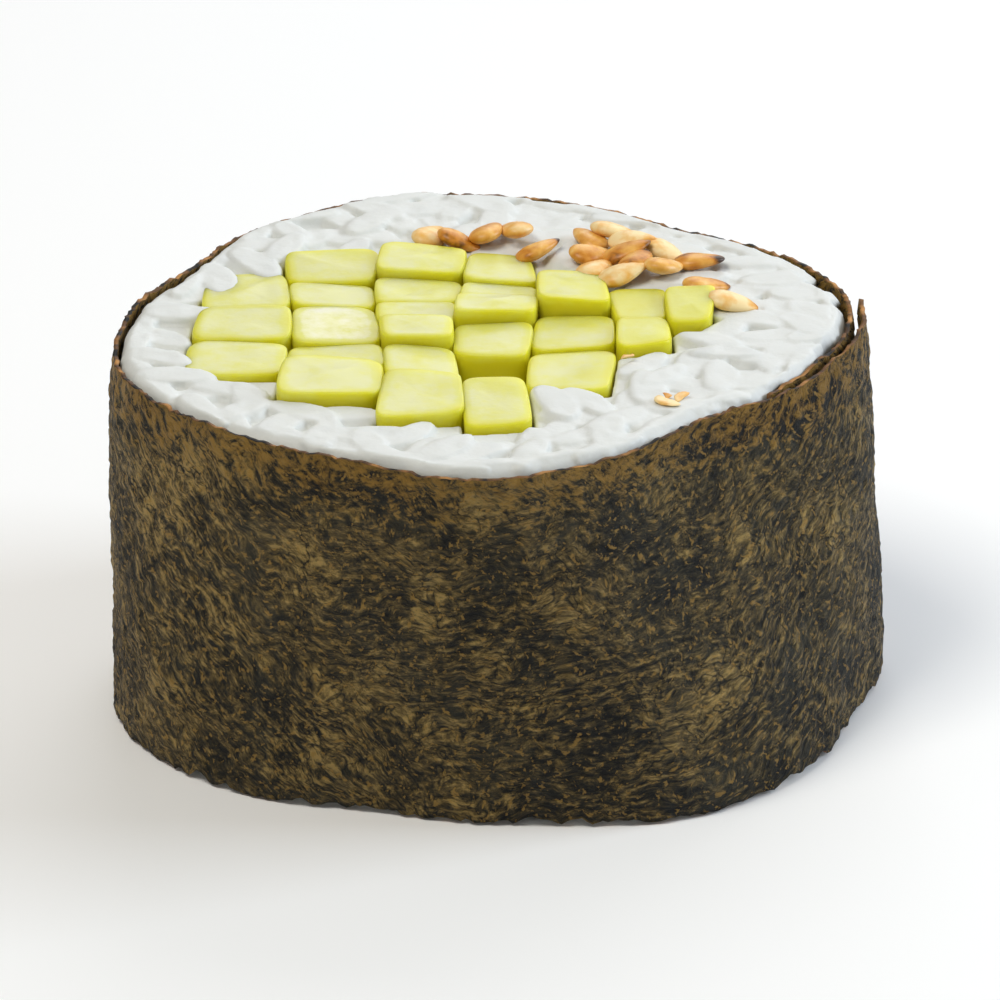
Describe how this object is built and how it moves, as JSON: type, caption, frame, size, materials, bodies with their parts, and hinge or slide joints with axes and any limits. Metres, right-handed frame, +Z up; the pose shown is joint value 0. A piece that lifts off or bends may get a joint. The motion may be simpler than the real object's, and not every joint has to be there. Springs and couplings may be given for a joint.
{
  "type": "cucumber maki roll",
  "caption": "Thick piece of cut sushi roll: a nori sheet wrapped round pressed rice, with a bundle of cucumber sticks through its middle and toasted sesame on the cut.",
  "frame": {"origin": "middle of the underside, on the surface that the roll stands on", "axes": "+Z up, along the roll from the cut it stands on to the cut that shows; +Y away from the viewer of the picture; +X to its right"},
  "size_m": [0.0492, 0.0464, 0.0254],
  "materials": {
    "nori": "dried and moistened seaweed sheet, fibrous, faint sheen",
    "rice": "pressed cooked rice, moist, with toasted sesame seeds on the cut",
    "cucumber": "fresh cut cucumber flesh, wet"
  },
  "bodies": {
    "root": {"nori": "nori", "rice": "rice", "cucumber_01": "cucumber", "cucumber_02": "cucumber", "cucumber_03": "cucumber", "cucumber_04": "cucumber", "cucumber_05": "cucumber", "cucumber_06": "cucumber", "cucumber_07": "cucumber", "cucumber_08": "cucumber", "cucumber_09": "cucumber", "cucumber_10": "cucumber", "cucumber_11": "cucumber", "cucumber_12": "cucumber", "cucumber_13": "cucumber", "cucumber_14": "cucumber", "cucumber_15": "cucumber", "cucumber_16": "cucumber", "cucumber_17": "cucumber", "cucumber_18": "cucumber", "cucumber_19": "cucumber", "cucumber_20": "cucumber", "cucumber_21": "cucumber", "cucumber_22": "cucumber", "cucumber_23": "cucumber", "cucumber_24": "cucumber", "cucumber_25": "cucumber", "cucumber_26": "cucumber"}
  },
  "joints": []
}
